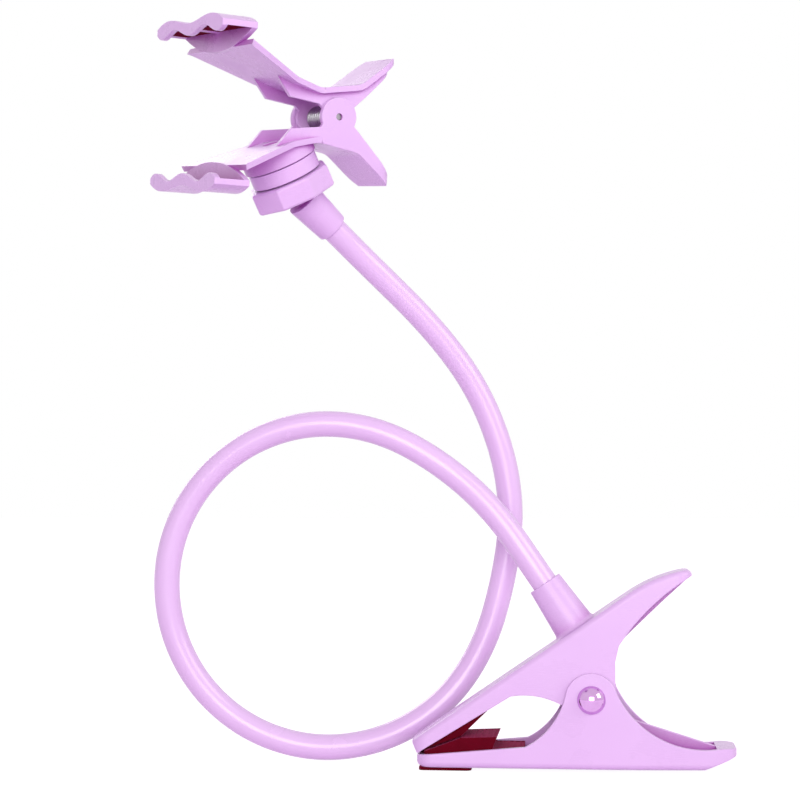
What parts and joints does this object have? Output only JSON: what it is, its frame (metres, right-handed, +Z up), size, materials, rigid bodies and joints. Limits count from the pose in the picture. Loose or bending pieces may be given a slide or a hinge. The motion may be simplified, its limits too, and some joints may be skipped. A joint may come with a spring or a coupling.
{
  "type": "phone gooseneck holder",
  "caption": "Desk phone holder: sprung base clamp with rubber jaws, a bendable looped gooseneck and a sprung clip with wavy hooks on a ball joint.",
  "frame": {"origin": "middle of the rubber foot under the clamp's lower jaw, on its lower face", "axes": "+Z up, +X along the base clamp from its jaw to its handles, +Y along the clamp's rivet away from the picture's side"},
  "size_m": [0.2253, 0.1064, 0.2848],
  "materials": {
    "lilac_plastic": "gloss moulded plastic, pale lilac pink",
    "lilac_sleeve": "smooth gloss sleeve, pale lilac pink",
    "dark_red_rubber": "matt dark maroon rubber",
    "chrome": "polished chrome",
    "spring_steel": "drawn steel wire",
    "core_metal": "soft drawn rod"
  },
  "bodies": {
    "base_lower": {"base_lower_arm": "lilac_plastic", "base_pivot_rivet": "chrome", "base_rivet_cap": "chrome", "base_torsion_spring": "spring_steel", "lower_jaw_pad": "dark_red_rubber", "jaw_foot": "dark_red_rubber"},
    "neck_arm": {"base_upper_arm": "lilac_plastic", "upper_jaw_pad": "dark_red_rubber", "gooseneck_sleeve": "lilac_sleeve", "gooseneck_core": "core_metal", "neck_ball_collar": "lilac_plastic"},
    "nut": {"socket_nut": "lilac_plastic"},
    "clip_lower": {"ball_socket": "lilac_plastic", "socket_screw": "spring_steel", "phone_lower_jaw": "lilac_plastic", "phone_pivot_pin": "spring_steel", "phone_torsion_spring": "spring_steel", "phone_lower_pad_near": "dark_red_rubber", "phone_lower_pad_far": "dark_red_rubber"},
    "clip_upper": {"phone_upper_jaw": "lilac_plastic", "phone_upper_pad_near": "dark_red_rubber", "phone_upper_pad_far": "dark_red_rubber"}
  },
  "joints": [
    {"name": "base_clamp", "type": "hinge", "parent": "base_lower", "child": "neck_arm", "pos_m": [0.0555, 0, 0.0275], "axis": [0, 1, 0], "range_deg": [0, 45], "stiffness_Nm_per_rad": 0.6, "springref_deg": -57.3, "deforming": ["base_torsion_spring"]},
    {"name": "head_tilt", "type": "hinge", "parent": "neck_arm", "child": "nut", "pos_m": [-0.05869, -0.01775, 0.22322], "axis": [-0.5821, 0.8011, 0.1392], "range_deg": [-49, 4]},
    {"name": "head_swivel", "type": "hinge", "parent": "nut", "child": "clip_lower", "pos_m": [-0.05869, -0.01775, 0.22322], "axis": [-0.3337, -0.3914, 0.8576], "continuous": true},
    {"name": "phone_clip", "type": "hinge", "parent": "clip_lower", "child": "clip_upper", "pos_m": [-0.047, -0.014, 0.2505], "axis": [-0.5821, 0.8011, 0.1392], "range_deg": [-38, 30], "stiffness_Nm_per_rad": 0.25, "deforming": ["phone_torsion_spring"]}
  ]
}
